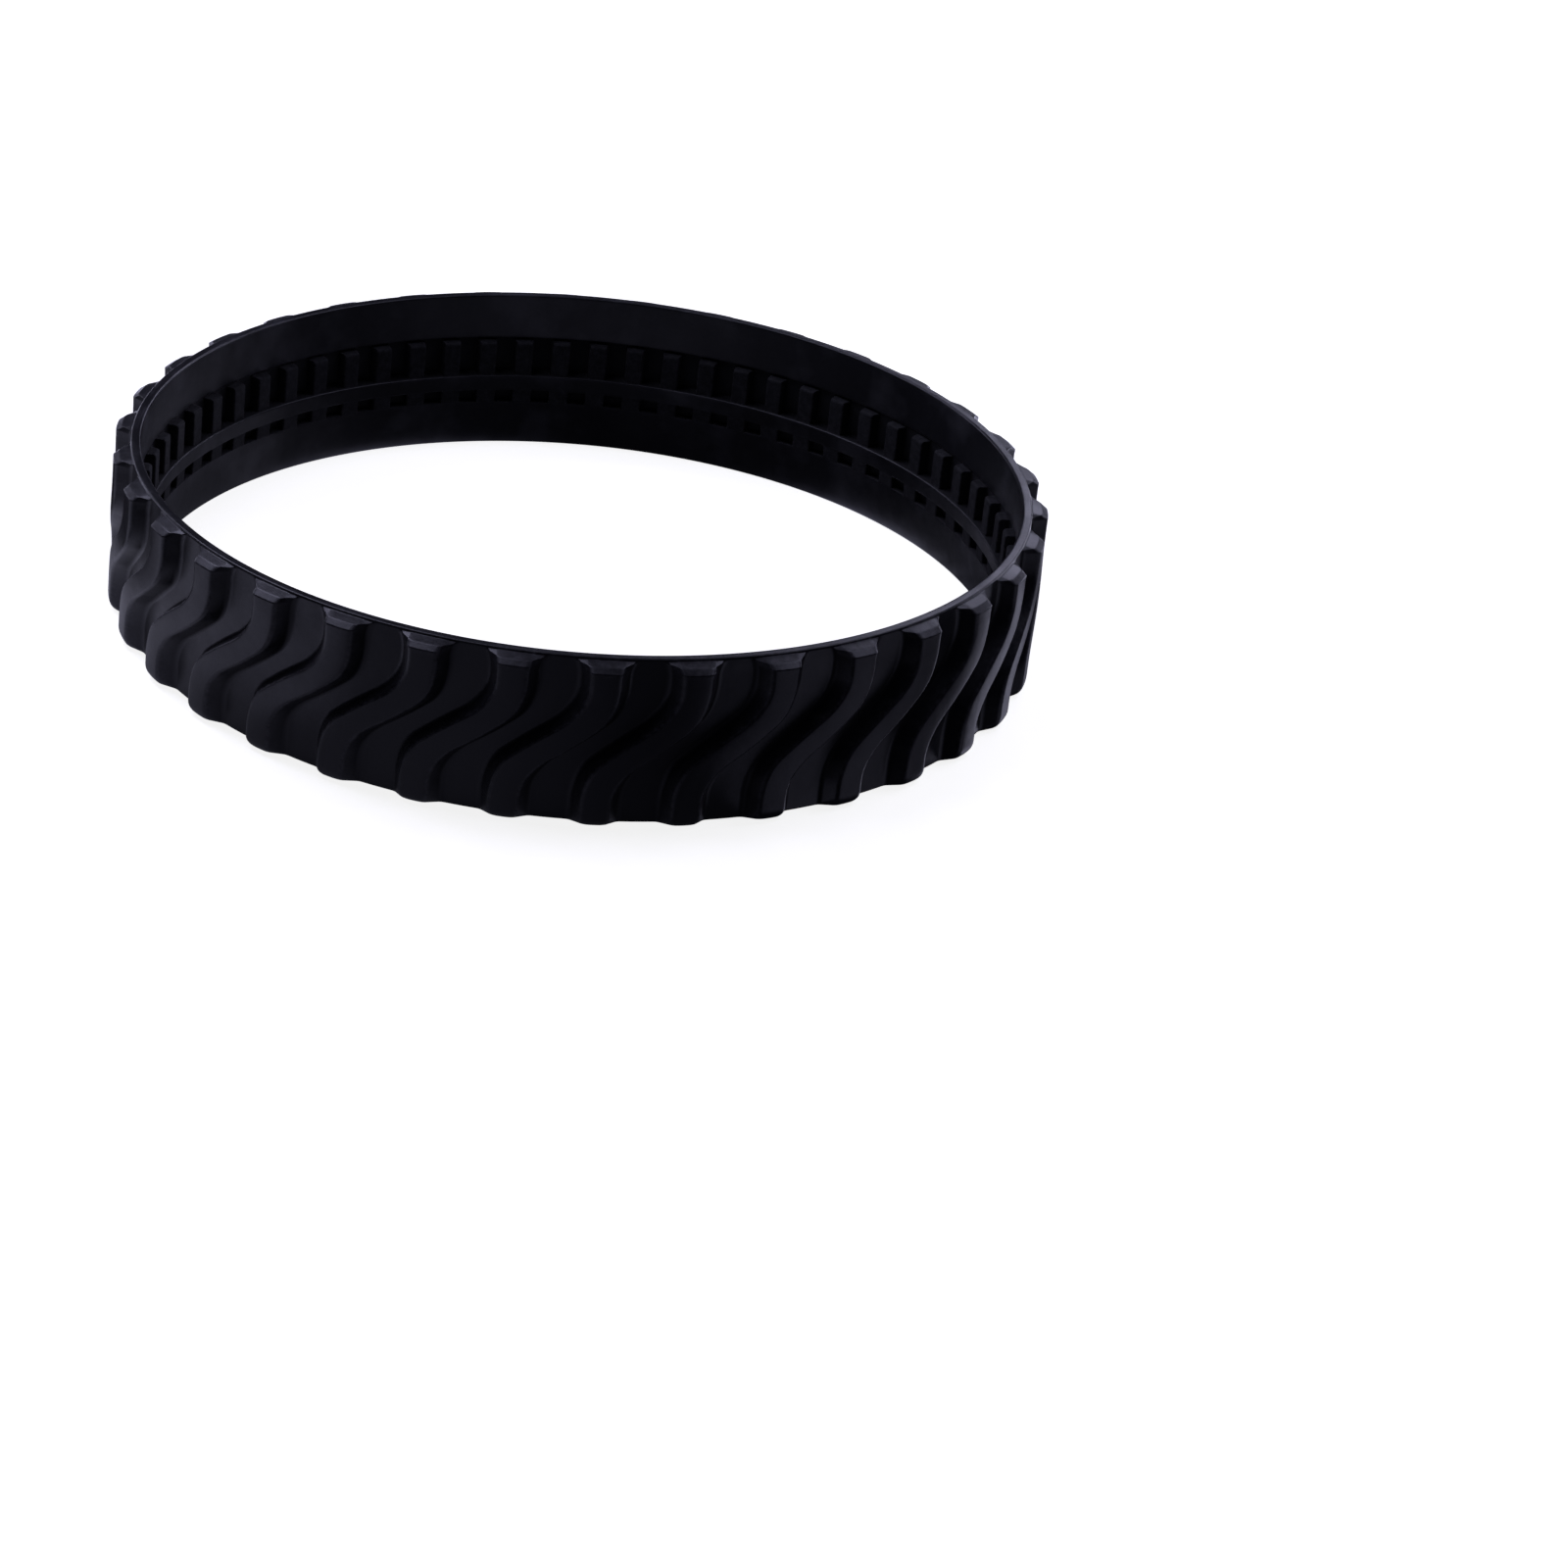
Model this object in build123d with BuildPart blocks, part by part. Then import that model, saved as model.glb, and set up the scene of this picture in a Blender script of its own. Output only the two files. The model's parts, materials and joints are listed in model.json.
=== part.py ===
from build123d import *
import os
from math import cos, pi, radians, sin, tan

# Moulded rubber drive track: a closed loop that runs on two wheels. It stands on one rim, with
# the loop's axis along +Z and the origin at the loop's centre, half way up its width.
# Lengths are in mm and angles in degrees. Angles run counter-clockwise from +X, seen from above.

# ---- belt ----
TRACK_WIDTH = 38.5            # from rim to rim
LAND_RADIUS = 100.0           # smooth inner land beside the upper rim
CHANNEL_RADIUS = 100.6        # floor of the drive channel, and the back of the guide rail
GROOVE_RADIUS = 102.3         # outside of the belt, the floor of the tread grooves
LAND_DEPTH = 11.2             # from the upper rim down to the drive channel
RIM_ROUNDING = 0.5

# ---- tread bars ----
BAR_COUNT = 34
BAR_PHASE = 0.5               # angle of the first bar's middle
TREAD_RADIUS = 106.2          # running face of the bars
BAR_WIDTH = 10.3              # along the belt, at the bar's foot
BAR_DRAFT = 22.0              # slope of the bar's side walls
BAR_BEND_HEIGHT = 7.7         # the bar's line bends this far above and below mid-width
BAR_BEND_RADIUS = 13.0
BAR_BEND_OFFSET = 0.8         # moves the bends of the two sides apart, so the middle is wider
BAR_TOP_SLOPE = 0.9           # the upper end falls this much from the rim to the running face
BAR_END_ROUNDING = 0.8

# ---- drive teeth in the channel ----
TOOTH_COUNT = 68
TOOTH_PHASE = 0.66            # angle of the first tooth's middle
TOOTH_TIP_RADIUS = 98.0
TOOTH_WIDTH = 4.8             # along the belt, at the tooth's foot
TOOTH_TOP = 7.5
TOOTH_DRAFT = 8.0

# ---- guide rail below the channel ----
RAIL_TOP = -1.0
RAIL_RADIUS = 97.3            # crest, beside the channel
RAIL_FOOT_RADIUS = 98.6       # at the lower rim
RAIL_ROUNDING = 0.5
POCKET_HEIGHT = 3.0
POCKET_WIDTH = 4.4
POCKET_BOTTOM_RADIUS = 99.6
POCKET_CENTRE = -6.5

# ---- flex zones ----
# The loop bends where its curvature changes when it is pressed flat on two wheels. Twelve bend
# lines cut it into zones. The long zone centred on SPLIT_ANGLE never bends, and it is parted at
# its middle, because a hinged chain has to be open somewhere.
FLEX_STEP = 22.5
SPLIT_ANGLE = 45.0
BEND_LINES = [90 * quarter + offset for quarter in range(4) for offset in (0, FLEX_STEP, 90 - FLEX_STEP)]
BEND_RADIUS = 101.2           # neutral line of the belt, where the bend lines stand
NOTCH_ANGLE = 11.9            # half of the V between two zones, outside and inside the bend line
ZONE_CLEARANCE = 0.15         # each zone's end stands this far back from its bend line

# ---- working values that follow from the dimensions above ----
HALF_WIDTH = TRACK_WIDTH / 2
LAND_BOTTOM = HALF_WIDTH - LAND_DEPTH
BAR_PITCH = 360 / BAR_COUNT
BAR_SHIFT = 2 * pi * GROOVE_RADIUS / BAR_COUNT    # the upper end leads the lower end by one pitch
TOOTH_PITCH = 360 / TOOTH_COUNT
OVERRUN = 6.0                 # how far cutting shapes run past the rubber
TRIM = 2.0                    # how far bars and teeth are first made past their final height
CUTTER_OUTER_RADIUS = 118.0
CUTTER_INNER_RADIUS = 86.0
CRUMB_VOLUME = 3.0            # smaller offcuts at a zone's end are left out


def radial_plane(angle, radius, inward=False):
    """Plane tangent to the belt at an angle: local x along the belt, local normal radial."""
    out = Vector(cos(radians(angle)), sin(radians(angle)), 0)
    forward = Vector(-out.Y, out.X, 0)
    if inward:
        return Plane(origin=out * radius, x_dir=-forward, z_dir=-out)
    return Plane(origin=out * radius, x_dir=forward, z_dir=out)


def along(angle, distance):
    """Point in plan at a distance in the direction of an angle."""
    return Vector(distance * cos(radians(angle)), distance * sin(radians(angle)))


def zone_end(angle, side):
    """Inner corner, bend line and outer corner of a zone's end. side is 1 where it starts."""
    pivot = along(angle, BEND_RADIUS) + along(angle + 90 * side, ZONE_CLEARANCE)
    outer = pivot + along(angle + NOTCH_ANGLE * side, CUTTER_OUTER_RADIUS - BEND_RADIUS)
    inner = pivot - along(angle - NOTCH_ANGLE * side, BEND_RADIUS - CUTTER_INNER_RADIUS)
    return [inner, pivot, outer]


def keep_zone(start, end):
    """Cuts the part being built down to one zone of the loop."""
    with BuildSketch(Plane.XY.offset(-HALF_WIDTH - OVERRUN)) as zone:
        Polygon(*zone_end(start, 1), *reversed(zone_end(end, -1)), align=None)
    extrude(zone.sketch, amount=TRACK_WIDTH + 2 * OVERRUN, mode=Mode.INTERSECT)


def angles_in(start, end, phase, pitch, reach):
    """Angles of the repeated features that can touch a zone."""
    first = int((start - reach - phase) // pitch)
    last = int((end + reach - phase) // pitch) + 1
    candidates = [phase + pitch * index for index in range(first, last + 1)]
    return [angle for angle in candidates if start - reach < angle < end + reach]


def write(piece, name):
    """Labels a finished piece and writes its file."""
    piece.label = name
    export_step(piece, f"parts/{name}.step")


# ---- one tread bar ----
# The foot is an S: both sides run straight down from the rims and slant across the middle.
def bar_side(edge, offset):
    """Outline of one side of the bar's foot, from its lower end to its upper end."""
    low = -BAR_SHIFT / 2 + edge
    high = BAR_SHIFT / 2 + edge
    end = HALF_WIDTH + OVERRUN
    points = [(low, -end), (low, offset - BAR_BEND_HEIGHT), (high, offset + BAR_BEND_HEIGHT), (high, end)]
    return FilletPolyline(*points, radius=BAR_BEND_RADIUS)


bar_root_depth = GROOVE_RADIUS - CHANNEL_RADIUS
bar_root_half_width = BAR_WIDTH / 2 + bar_root_depth * tan(radians(BAR_DRAFT))
with BuildPart() as tread_bar:
    with BuildSketch(radial_plane(0, CHANNEL_RADIUS)):
        with BuildLine():
            leading = bar_side(bar_root_half_width, -BAR_BEND_OFFSET)
            trailing = bar_side(-bar_root_half_width, BAR_BEND_OFFSET)
            Line(leading @ 0, trailing @ 0)
            Line(leading @ 1, trailing @ 1)
        make_face()
    extrude(amount=TREAD_RADIUS - CHANNEL_RADIUS + TRIM, taper=BAR_DRAFT)
    with BuildSketch(Plane.XZ) as bar_envelope:
        with BuildLine():
            Polyline(
                (GROOVE_RADIUS, -HALF_WIDTH),
                (TREAD_RADIUS, -HALF_WIDTH),
                (TREAD_RADIUS, HALF_WIDTH - RIM_ROUNDING - BAR_TOP_SLOPE),
                (GROOVE_RADIUS, HALF_WIDTH - RIM_ROUNDING),
                close=True,
            )
        make_face()
        running_corners = bar_envelope.vertices().group_by(Axis.X)[-1]
        fillet(running_corners, BAR_END_ROUNDING)
    revolve(axis=Axis.Z, mode=Mode.INTERSECT)

# ---- one drive tooth ----
tooth_height = TOOTH_TOP - RAIL_TOP
with BuildPart() as drive_tooth:
    with BuildSketch(radial_plane(0, GROOVE_RADIUS, inward=True)):
        with Locations((0, RAIL_TOP + tooth_height / 2 - OVERRUN / 2)):
            Rectangle(TOOTH_WIDTH, tooth_height + OVERRUN)
    extrude(amount=GROOVE_RADIUS - TOOTH_TIP_RADIUS + TRIM, taper=TOOTH_DRAFT)
    with BuildSketch(Plane.XZ) as tooth_envelope:
        with BuildLine():
            Polyline(
                (TOOTH_TIP_RADIUS, RAIL_TOP),
                (CHANNEL_RADIUS, RAIL_TOP),
                (CHANNEL_RADIUS, TOOTH_TOP),
                (TOOTH_TIP_RADIUS, TOOTH_TOP),
                close=True,
            )
        make_face()
        fillet(tooth_envelope.vertices().group_by(Axis.X)[0].sort_by(Axis.Y)[-1], BAR_END_ROUNDING)
    revolve(axis=Axis.Z, mode=Mode.INTERSECT)


# ---- the four rubber pieces of one zone ----
def belt_zone(start, end):
    """Flat belt that joins everything: rims, smooth land and the floor of the drive channel."""
    with BuildPart() as belt:
        with BuildSketch(Plane.XZ) as section:
            with BuildLine():
                Polyline(
                    (CHANNEL_RADIUS, -HALF_WIDTH),
                    (GROOVE_RADIUS, -HALF_WIDTH),
                    (GROOVE_RADIUS, HALF_WIDTH),
                    (LAND_RADIUS, HALF_WIDTH),
                    (LAND_RADIUS, LAND_BOTTOM),
                    (CHANNEL_RADIUS, LAND_BOTTOM),
                    close=True,
                )
            make_face()
            fillet(section.vertices().group_by(Axis.Y)[-1], RIM_ROUNDING)
        revolve(axis=Axis.Z)
        keep_zone(start, end)
    return belt.part


def tread_bars(start, end):
    """S-shaped bars on the outside of the belt."""
    with BuildPart() as bars:
        for angle in angles_in(start, end, BAR_PHASE, BAR_PITCH, BAR_PITCH):
            add(tread_bar.part, rotation=(0, 0, angle))
        keep_zone(start, end)
    return Compound([bar for bar in bars.part.solids() if bar.volume > CRUMB_VOLUME])


def drive_teeth(start, end):
    """Teeth that stand in the channel and mesh with the drive wheel."""
    with BuildPart() as teeth:
        for angle in angles_in(start, end, TOOTH_PHASE, TOOTH_PITCH, TOOTH_PITCH / 2):
            add(drive_tooth.part, rotation=(0, 0, angle))
        keep_zone(start, end)
    return Compound([tooth for tooth in teeth.part.solids() if tooth.volume > CRUMB_VOLUME])


def guide_rail(start, end):
    """Thicker lower land whose crest keeps the track on its wheels, with a row of pockets."""
    with BuildPart() as rail:
        with BuildSketch(Plane.XZ) as section:
            with BuildLine():
                Polyline(
                    (RAIL_RADIUS, RAIL_TOP),
                    (CHANNEL_RADIUS, RAIL_TOP),
                    (CHANNEL_RADIUS, -HALF_WIDTH),
                    (RAIL_FOOT_RADIUS, -HALF_WIDTH),
                    close=True,
                )
            make_face()
            fillet(section.vertices().group_by(Axis.X)[0], RAIL_ROUNDING)
        revolve(axis=Axis.Z)
        for angle in angles_in(start, end, TOOTH_PHASE + TOOTH_PITCH / 2, TOOTH_PITCH, TOOTH_PITCH / 2):
            with BuildSketch(radial_plane(angle, POCKET_BOTTOM_RADIUS, inward=True)):
                with Locations((0, POCKET_CENTRE)):
                    Rectangle(POCKET_WIDTH, POCKET_HEIGHT)
            extrude(amount=OVERRUN, mode=Mode.SUBTRACT)
        keep_zone(start, end)
    return rail.part


# ---- all zones, counter-clockwise from the parting ----
os.makedirs("parts", exist_ok=True)
zone_limits = [SPLIT_ANGLE]
zone_limits += sorted(line if line > SPLIT_ANGLE else line + 360 for line in BEND_LINES)
zone_limits += [SPLIT_ANGLE + 360]
for number, (start, end) in enumerate(zip(zone_limits, zone_limits[1:]), start=1):
    write(belt_zone(start, end), f"belt_zone_{number:02d}")
    write(tread_bars(start, end), f"tread_bars_{number:02d}")
    write(drive_teeth(start, end), f"drive_teeth_{number:02d}")
    write(guide_rail(start, end), f"guide_rail_{number:02d}")
    print(f"zone {number:02d}: {start:.1f} to {end:.1f} degrees")
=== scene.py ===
import json
import math

import bmesh
import bpy
import numpy as np
from mathutils import Matrix, Vector

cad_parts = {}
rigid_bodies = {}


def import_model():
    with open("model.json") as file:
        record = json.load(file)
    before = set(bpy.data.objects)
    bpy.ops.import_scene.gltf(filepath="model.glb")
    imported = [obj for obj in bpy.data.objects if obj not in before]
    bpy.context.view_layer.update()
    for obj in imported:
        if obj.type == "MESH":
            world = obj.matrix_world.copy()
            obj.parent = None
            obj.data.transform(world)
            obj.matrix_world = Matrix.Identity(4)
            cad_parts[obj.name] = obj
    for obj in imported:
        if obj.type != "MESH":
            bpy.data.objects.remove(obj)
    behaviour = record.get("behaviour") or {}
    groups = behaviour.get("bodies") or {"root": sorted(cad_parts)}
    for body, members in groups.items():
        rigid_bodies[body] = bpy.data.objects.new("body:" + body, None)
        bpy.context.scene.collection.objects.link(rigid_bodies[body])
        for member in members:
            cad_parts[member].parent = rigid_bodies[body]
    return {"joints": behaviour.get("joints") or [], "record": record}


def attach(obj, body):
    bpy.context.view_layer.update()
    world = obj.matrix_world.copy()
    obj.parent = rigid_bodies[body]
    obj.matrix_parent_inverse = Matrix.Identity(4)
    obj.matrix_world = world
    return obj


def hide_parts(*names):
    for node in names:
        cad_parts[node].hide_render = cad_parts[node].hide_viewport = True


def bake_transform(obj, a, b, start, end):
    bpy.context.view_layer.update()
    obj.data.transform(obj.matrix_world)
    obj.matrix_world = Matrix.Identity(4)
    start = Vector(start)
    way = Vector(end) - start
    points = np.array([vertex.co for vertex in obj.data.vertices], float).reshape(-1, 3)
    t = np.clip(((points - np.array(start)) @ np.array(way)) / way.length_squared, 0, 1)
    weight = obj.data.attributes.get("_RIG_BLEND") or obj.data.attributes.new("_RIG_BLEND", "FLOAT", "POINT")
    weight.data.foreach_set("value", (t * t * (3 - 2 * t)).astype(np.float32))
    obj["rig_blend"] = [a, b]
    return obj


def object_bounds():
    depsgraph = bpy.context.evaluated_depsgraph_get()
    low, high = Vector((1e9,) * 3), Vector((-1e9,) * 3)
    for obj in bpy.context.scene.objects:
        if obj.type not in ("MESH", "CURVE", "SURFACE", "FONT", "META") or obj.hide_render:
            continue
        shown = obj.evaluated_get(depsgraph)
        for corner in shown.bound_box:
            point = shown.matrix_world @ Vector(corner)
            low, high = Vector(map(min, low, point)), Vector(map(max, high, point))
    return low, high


# The looks of a moulded rubber drive track. The whole loop is one continuous rubber skin, made of
# rows that run round the loop and columns that run across it, then parted into stretches that
# each ride on a CAD body or bend between two.
# Shapes are worked out in mm and degrees, and become metres when a mesh is made.

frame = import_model()
cad_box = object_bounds()

MM = 0.001

# ---- section of the belt, mm ----
TREAD_RADIUS = cad_box[1].x / MM
HALF_WIDTH = cad_box[1].z / MM
GROOVE_RADIUS = TREAD_RADIUS - 3.9
LAND_RADIUS = 100.0
LAND_BOTTOM = HALF_WIDTH - 11.2
LAND_CORNER = 0.3                       # rounding where the land drops into the channel
CHANNEL_RADIUS = 100.6
RIM_ROUNDING = 0.5
UPPER_RIM_FLAT = (100.9, 101.5)         # inside and outside radii of the rims' flats
LOWER_RIM_FLAT = (100.2, 101.2)

# ---- tread bars, mm ----
BAR_COUNT = 34
BAR_PHASE = 0.5                         # angle of the first bar's middle, degrees
BAR_HEIGHT = TREAD_RADIUS - GROOVE_RADIUS
BAR_CROWN = 0.12
BAR_TOP_HALF = (3.0, 4.2)               # half length of the running face, at the rims and mid-width
BAR_FOOT_HALF = (5.15, 6.1)             # the same at the foot
BAR_BEND_HEIGHT = 7.7                   # where the slanting and straight runs of a bar would meet
BAR_BEND_RADIUS = 13.0
BAR_WIDE_HEIGHT = BAR_BEND_HEIGHT * 1.6  # the bars are longer than at the rims up to here
BAR_END_SLOPE = 0.9
BAR_END_CHAMFER = (0.65, 1.45)          # down the running face, and in along the sloping end
CHAMFER_EDGE = 0.12                     # share of a flat that its softened edge takes up
BAR_LOWER_HEIGHT = 3.4                  # the lower end is rounded like a thumb: how far up,
BAR_LOWER_DEPTH = 2.8                   # how far in,
BAR_LOWER_NARROWING = 1.5               # and how much shorter the running face gets on each side
BAR_EDGE = 0.8                          # reach of the rounding along the running face's edges
BAR_FILLET = 1.0                        # reach of the fillet at the foot
FLARE_HEIGHT = 3.6                      # the grooves close in an arch below the upper rim
FLARE_WIDTH = 2.0
FLARE_FULLNESS = 0.96                   # 1 would make the arch a whole quarter of an ellipse
FLARE_AT_TOP = 0.5                      # share of the flare that reaches the running face
ON_BAR_RADIUS = GROOVE_RADIUS + 1.0     # anything further out than this is on a bar
WEAR_HIGHLIGHT_REACH = 0.7                        # worn line, also a painted highlight, on each side of the running face's edges
UPPER_WEAR_HIGHLIGHT = 2.6                        # the bars' ends are worn, with a painted highlight, this far from the upper rim,
LOWER_WEAR_HIGHLIGHT = 1.4                        # and this far from the lower one,
END_WEAR_HIGHLIGHT = 0.6                          # this much

# ---- drive teeth, mm ----
TOOTH_COUNT = 68
TOOTH_PHASE = 0.66                      # angle of the first tooth's middle, degrees
TOOTH_TIP_RADIUS = 98.0
TOOTH_HEIGHT = CHANNEL_RADIUS - TOOTH_TIP_RADIUS
TOOTH_TOP_HALF = 2.03
TOOTH_FOOT_HALF = 2.4
TOOTH_TOP = 7.5
TOOTH_ROUNDING = 0.7
TOOTH_EDGE = 0.35
TOOTH_WEAR_HIGHLIGHT = (0.93, 0.12)               # how high up a tooth its worn and painted-highlight edge is, and its reach, in shares
LEDGE_FILLET = 0.4                      # between the channel's floor and the guide rail's top

# ---- guide rail, mm ----
RAIL_TOP = -1.0
RAIL_RADIUS = 97.3
RAIL_FOOT_RADIUS = 98.6
RAIL_ROUNDING = 0.5
TEETH_END = RAIL_TOP - 0.1              # rows above this height carry teeth, and those below, pockets
POCKET_BOTTOM_RADIUS = 99.6
POCKET_CENTRE = -6.5
POCKET_HALF_HEIGHT = 1.5
POCKET_DEPTH = 1.9
POCKET_TOP_HALF = 2.35                  # half length of the rubber left between two pockets
POCKET_FOOT_HALF = 2.5
# Rows across a pocket's upper and lower edges: height above the edge, and share of the full depth.
POCKET_EDGE = ((0.22, 0.0), (0.06, 0.05), (-0.03, 0.25), (-0.09, 0.8), (-0.2, 0.97), (-0.4, 1.0))

BLEND_RADIUS = RAIL_RADIUS - 0.5        # a bend's span is measured just inside the rail
BAR_PITCH = 2 * math.pi * GROOVE_RADIUS / BAR_COUNT
TOOTH_PITCH = 2 * math.pi * CHANNEL_RADIUS / TOOTH_COUNT

# ---- fineness of the skin ----
CRISP = 0.1                             # from a corner to the row that keeps it crisp, mm
BAR_FACE_ROWS = 36
BAR_FACE_MARGINS = (0.8, 0.25)          # those rows stop this far from the bars' lower and upper ends
LAND_FACE_ROWS = 8
TOOTH_FACE_ROWS = 4
RAIL_FACE_ROWS = 6
ROUNDING_ROWS = 5
SMALL_ROUNDING_ROWS = 4
LOWER_END_ROWS = 9
WIDEST_EDGE = 0.6                       # share of a running face's half that a rounding may take
BAR_CORNER_POINTS = 6
TOOTH_CORNER_POINTS = 4

# ---- what the material is told about each place ----
LAYERS = ("wear_and_highlight", "tread", "exposure")  # worn edges with painted highlights, height on the bars, and one of the next three
CHANNEL = 0.0
LAND = 0.5
OUTSIDE = 1.0

# ---- the rubber's colours, linear ----
# painted shade: the first blacks, for the recessed channel, are darker than the rubber's own blacks below
# them
SHADED_CHANNEL_BLACKS = ((0.0015, 0.0015, 0.0025), (0.0040, 0.0040, 0.0060))
UNSHADED_BLACKS = ((0.0045, 0.0045, 0.0066), (0.0085, 0.0085, 0.0120))
# dust and painted light: lighter grey blotches on the land and the rail's face
DUST_AND_LIGHT_GREY = (0.045, 0.045, 0.054)
DUST_AND_LIGHT_COVER = 0.8
PATCH_GREY = (0.0180, 0.0180, 0.0225)
WORN_HIGHLIGHT_GREY = (0.085, 0.085, 0.100)
SCUFF_GREY = (0.018, 0.018, 0.021)
GLOSS_TINT = (0.92, 0.92, 1.0)
ROUGHNESS = (0.31, 0.43)
CHANNEL_ROUGHER = 0.45                  # added in the channel, where nothing rubs it smooth


# ---------------------------------------------------------------- profiles
def bend(a, corner, b, reach_in, reach_out, count):
    """Points of a rounded corner between the runs a-corner and corner-b."""
    a, corner, b = (np.array(point, float) for point in (a, corner, b))
    first = corner + (a - corner) / np.linalg.norm(a - corner) * reach_in
    last = corner + (b - corner) / np.linalg.norm(b - corner) * reach_out
    points = []
    for s in np.linspace(0, 1, count):
        points.append((1 - s) ** 2 * first + 2 * s * (1 - s) * corner + s ** 2 * last)
    return points


def half_step(top_half, foot_half, height, half_pitch, edge, fillet, count):
    """Half of a raised bar or tooth in section: distances from its middle, and heights from 1 to 0."""
    centre = (0.0, height)
    shoulder = (top_half, height)
    foot = (foot_half, 0.0)
    floor = (half_pitch, 0.0)
    edge = min(edge, top_half * WIDEST_EDGE)
    on_top = ((top_half - edge) * 0.6, height)
    on_floor = ((foot_half + half_pitch + fillet) / 2, 0.0)
    points = [centre, on_top]
    points += bend(centre, shoulder, foot, edge, edge, count)
    points += bend(shoulder, foot, floor, fillet, fillet, count)
    points += [on_floor, floor]
    points = np.array([tuple(p) for p in points])
    return points[:, 0], points[:, 1] / height


def full_step(*sizes):
    """A whole bar or tooth in section, from the middle of one gap up to, not including, the next."""
    across, rise = half_step(*sizes)
    return np.concatenate([-across[:0:-1], across[:-1]]), np.concatenate([rise[:0:-1], rise[:-1]])


def arc(centre, radius, start, end, count):
    """(radius, height) points of an arc in the loop's section, angles in degrees."""
    angles = np.radians(np.linspace(start, end, count))
    return [(centre[0] + radius * math.cos(a), centre[1] + radius * math.sin(a)) for a in angles]


# ---------------------------------------------------------------- the bar's S line
def bar_shift(z):
    """How far a bar's middle line has moved along the belt at a height, mm."""
    slope = BAR_PITCH / 2 / BAR_BEND_HEIGHT
    turn = math.atan(slope)
    reach = BAR_BEND_RADIUS * math.tan(turn / 2)
    height = abs(z)
    low = BAR_BEND_HEIGHT - reach * math.cos(turn)
    high = BAR_BEND_HEIGHT + reach
    if height <= low:
        shift = slope * height
    elif height >= high:
        shift = BAR_PITCH / 2
    else:
        drop = BAR_BEND_RADIUS ** 2 - (high - height) ** 2
        shift = BAR_PITCH / 2 - BAR_BEND_RADIUS + math.sqrt(drop)
    return math.copysign(shift, z)


def middle_share(z):
    """1 at mid-width, falling smoothly to 0 where the bar runs straight to a rim."""
    t = min(1.0, abs(z) / BAR_WIDE_HEIGHT)
    return 1 - t * t * (3 - 2 * t)


def flare(z):
    """How far a bar's side leans out just below the upper rim, mm."""
    t = (z - (HALF_WIDTH - FLARE_HEIGHT - RIM_ROUNDING)) / FLARE_HEIGHT
    t = min(1.0, max(0.0, t))
    return FLARE_WIDTH * (1 - math.sqrt(1 - t * t * FLARE_FULLNESS))


def narrowing(z):
    """How much the running face draws in at each side on the rounded lower end, mm."""
    t = (BAR_LOWER_HEIGHT - HALF_WIDTH - z) / BAR_LOWER_HEIGHT
    t = min(1.0, max(0.0, t))
    return BAR_LOWER_NARROWING * (1 - math.sqrt(1 - t * t))


# ---------------------------------------------------------------- rows of the skin
# A row holds the (radius, height) of its low places, in the grooves and gaps, and of its high
# places, on the bars and teeth. The places between are a mix of the two. Numbers that are not
# named only say where a row lies between two corners.
def lower_bar_end():
    """Rows up from the lower rim, round the bars' thumb-like ends."""
    low_centre = (GROOVE_RADIUS - RIM_ROUNDING, -HALF_WIDTH + RIM_ROUNDING)
    low_end = arc(low_centre, RIM_ROUNDING, -90, 0, LOWER_END_ROWS)
    high_end = []
    for x, y in arc((0, 0), 1.0, -90, 0, LOWER_END_ROWS):
        radius = TREAD_RADIUS + (x - 1) * BAR_LOWER_DEPTH
        high_end.append((radius, -HALF_WIDTH + (y + 1) * BAR_LOWER_HEIGHT))
    return list(zip(low_end, high_end))


def upper_bar_end(straight_end, top_edge):
    """Rows over the chamfer and the sloping end of the bars, up to the rim's rounding."""
    rim = (GROOVE_RADIUS, HALF_WIDTH - RIM_ROUNDING)
    corner = (TREAD_RADIUS, top_edge)
    low, high = bend((TREAD_RADIUS, 0), corner, rim, *BAR_END_CHAMFER, 2)
    across = high - low
    points = [low, low + across * CHAMFER_EDGE, low + across * (1 - CHAMFER_EDGE), high]
    points.append(high + (np.array(rim) - high) * CHAMFER_EDGE)
    groove_shares = (0.12, 0.2, 0.6, 0.7, 0.8)
    rows = []
    for share, point in zip(groove_shares, points):
        z = straight_end + share * (rim[1] - straight_end)
        rows.append(((GROOVE_RADIUS, z), tuple(point)))
    near_rim = (GROOVE_RADIUS + 0.25, rim[1] - 0.06)
    rows.append(((GROOVE_RADIUS, rim[1] - 0.15), near_rim))
    return rows


def outer_rows():
    """Rows of the outside, from the lower rim's flat to the upper rim's."""
    flat = (LOWER_RIM_FLAT[1], -HALF_WIDTH)
    rows = [(flat, flat)] + lower_bar_end()
    top_edge = HALF_WIDTH - RIM_ROUNDING - BAR_END_SLOPE
    straight_start = -HALF_WIDTH + BAR_LOWER_HEIGHT + BAR_FACE_MARGINS[0]
    straight_end = top_edge - BAR_END_CHAMFER[0] - BAR_FACE_MARGINS[1]
    for z in np.linspace(straight_start, straight_end, BAR_FACE_ROWS):
        rows.append(((GROOVE_RADIUS, z), (TREAD_RADIUS, z)))
    rows += upper_bar_end(straight_end, top_edge)
    rim_centre = (GROOVE_RADIUS - RIM_ROUNDING, HALF_WIDTH - RIM_ROUNDING)
    for point in arc(rim_centre, RIM_ROUNDING, 0, 90, ROUNDING_ROWS):
        rows.append((point, point))
    flat = (UPPER_RIM_FLAT[1], HALF_WIDTH)
    rows.append((flat, flat))
    return rows


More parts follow.
